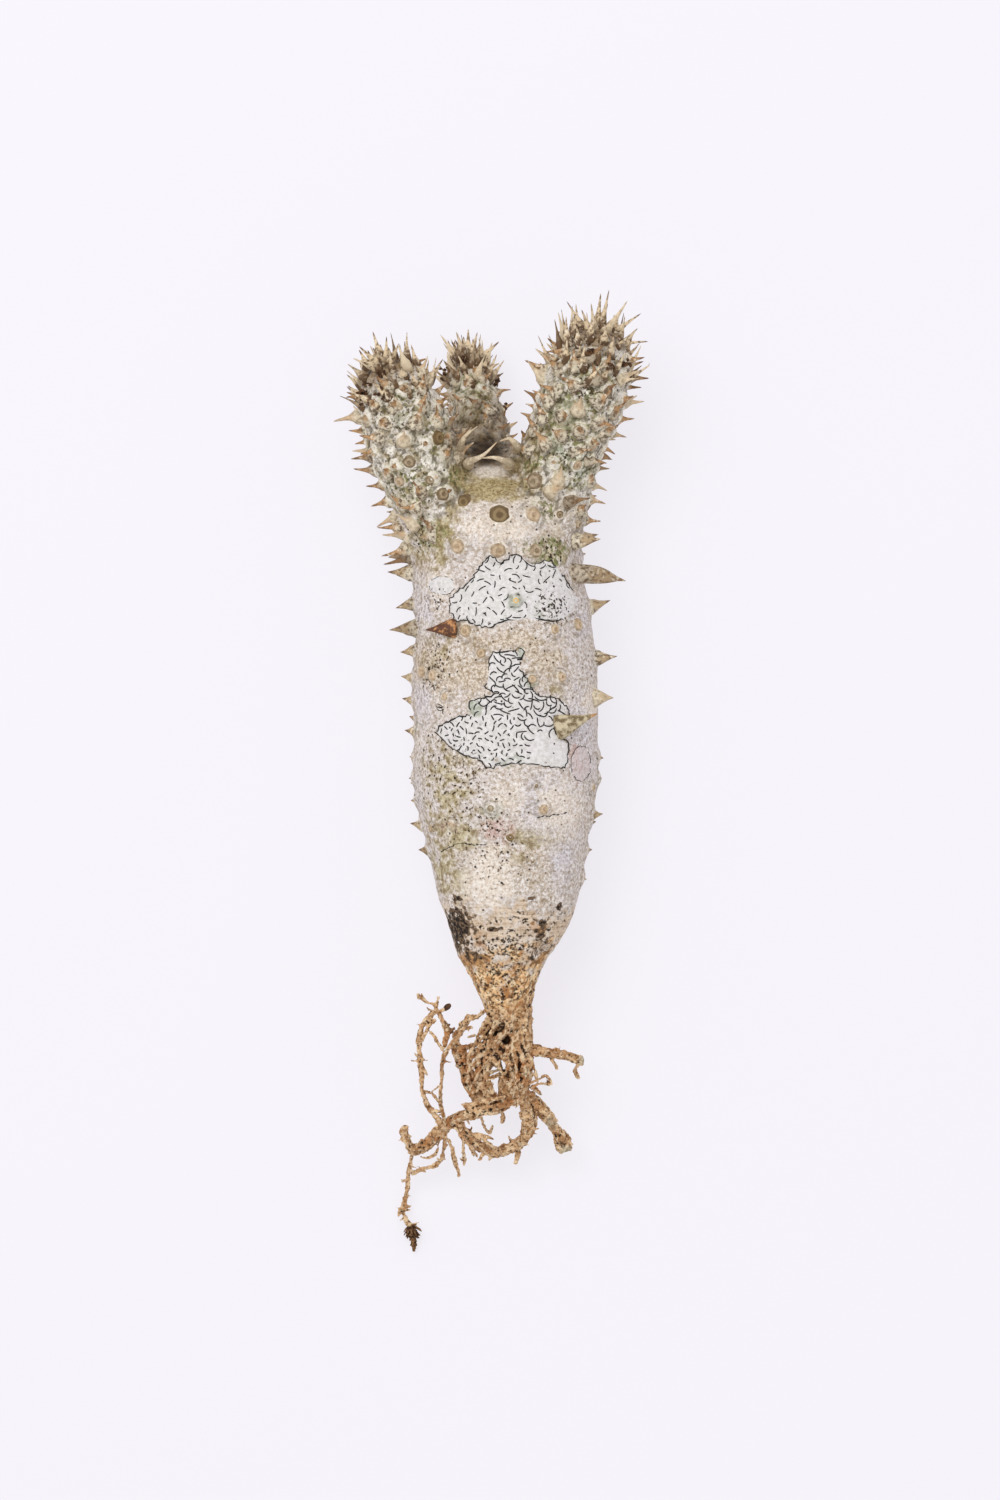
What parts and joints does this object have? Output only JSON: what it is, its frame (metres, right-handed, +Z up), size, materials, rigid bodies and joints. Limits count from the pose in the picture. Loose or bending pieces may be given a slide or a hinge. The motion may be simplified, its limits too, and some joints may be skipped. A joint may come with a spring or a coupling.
{
  "type": "bare-root pachypodium",
  "caption": "Bare-root caudex plant lying on its back: swollen spiny trunk, short spiny arms with dried crowns, taproot stub and a tangle of corky roots.",
  "frame": {"origin": "middle of the plant's footprint on the surface it lies on", "axes": "+Y from the roots towards the arms, +Z up from the surface, +X to the right seen from above"},
  "size_m": [0.0788, 0.2411, 0.0491],
  "materials": {
    "bark": "dry, cream-grey with green and tan blotches, matt",
    "dry_spine": "dry brown to orange-tan, slightly satin",
    "root_cork": "flaky tan cork with dark cracks",
    "dry_soil": "crumbly, matt"
  },
  "bodies": {
    "root": {"trunk": "bark", "arm_left": "bark", "arm_right": "bark", "arm_middle": "bark", "crown_left": "dry_spine", "crown_right": "dry_spine", "crown_middle": "dry_spine", "fork_spine_1": "dry_spine", "fork_spine_2": "dry_spine", "fork_spine_3": "dry_spine", "fork_spine_4": "dry_spine", "taproot": "root_cork", "root_band": "root_cork", "root_loop": "root_cork", "root_lower_right": "root_cork", "root_upper_right": "root_cork", "root_tiny_loop": "root_cork", "root_woody": "root_cork", "root_outer": "root_cork", "root_inner": "root_cork", "root_long": "root_cork", "root_tuft": "root_cork", "root_joining": "root_cork", "twig_left": "root_cork", "twig_hanging": "root_cork", "twig_side": "root_cork", "soil_clod": "dry_soil"}
  },
  "joints": []
}
